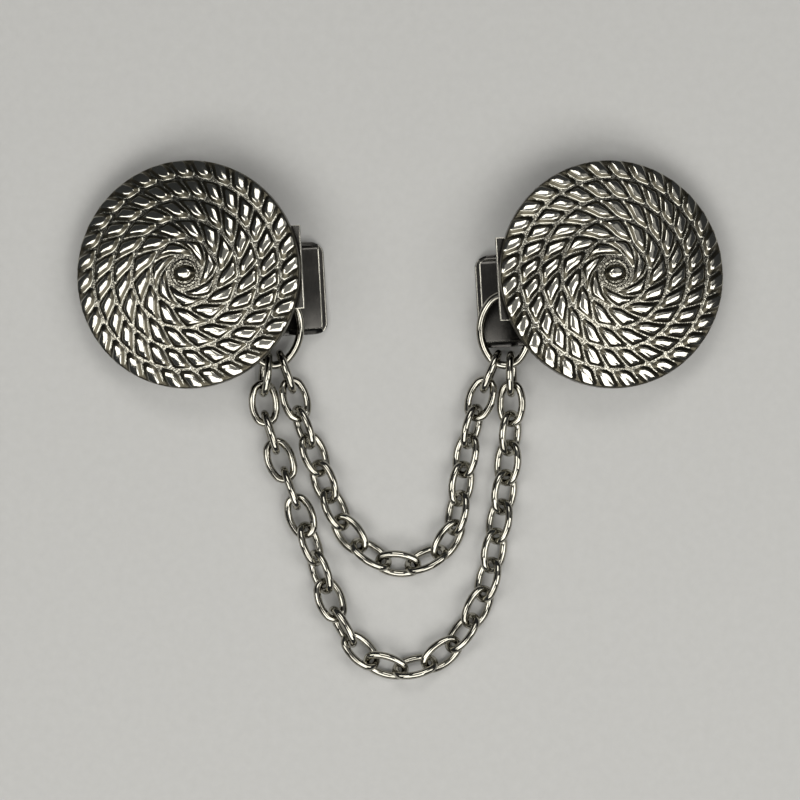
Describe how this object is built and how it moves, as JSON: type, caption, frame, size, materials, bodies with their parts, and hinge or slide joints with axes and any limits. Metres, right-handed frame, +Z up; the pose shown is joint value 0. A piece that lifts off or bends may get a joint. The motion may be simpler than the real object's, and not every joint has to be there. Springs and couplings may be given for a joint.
{
  "type": "cardigan clip",
  "caption": "Cardigan clip: domed rope-pattern discs on sprung jaw clips, joined by swagged strands of oval-link chain hooked on jump rings.",
  "frame": {"origin": "middle of the clip's outline as it lies, on the surface that it lies on", "axes": "+Z up off the surface, +X from the left disc to the right disc, +Y from the chain's swag towards the discs"},
  "size_m": [0.0776, 0.0624, 0.0093],
  "materials": {
    "disc_metal": "antique black nickel plate on cast zinc alloy, polished bead tops and dark recesses",
    "lever_metal": "dark nickel plate on pressed steel sheet",
    "pin_metal": "dark nickel plate, turned",
    "spring_metal": "plain spring steel wire",
    "wire_metal": "dark nickel plate on steel wire, polished"
  },
  "bodies": {
    "base": {"left_lower_lever": "lever_metal", "left_hinge_pin": "pin_metal", "left_spring": "spring_metal", "left_jump_ring": "wire_metal", "right_lower_lever": "lever_metal", "right_hinge_pin": "pin_metal", "right_spring": "spring_metal", "right_jump_ring": "wire_metal", "outer_chain": "wire_metal", "inner_chain": "wire_metal"},
    "left_jaw": {"left_disc": "disc_metal", "left_upper_lever": "lever_metal"},
    "right_jaw": {"right_disc": "disc_metal", "right_upper_lever": "lever_metal"}
  },
  "joints": [
    {"name": "left_jaw_hinge", "type": "hinge", "parent": "base", "child": "left_jaw", "pos_m": [-0.02147, 0.0155, 0.00337], "axis": [-0.0551, 0.9961, -0.0682], "range_deg": [0, 18], "stiffness_Nm_per_rad": 0.03, "springref_deg": -5.73, "deforming": ["left_spring"]},
    {"name": "right_jaw_hinge", "type": "hinge", "parent": "base", "child": "right_jaw", "pos_m": [0.02173, 0.01509, 0.00337], "axis": [0.058, -0.996, 0.0682], "range_deg": [0, 18], "stiffness_Nm_per_rad": 0.03, "springref_deg": -5.73, "deforming": ["right_spring"]}
  ]
}
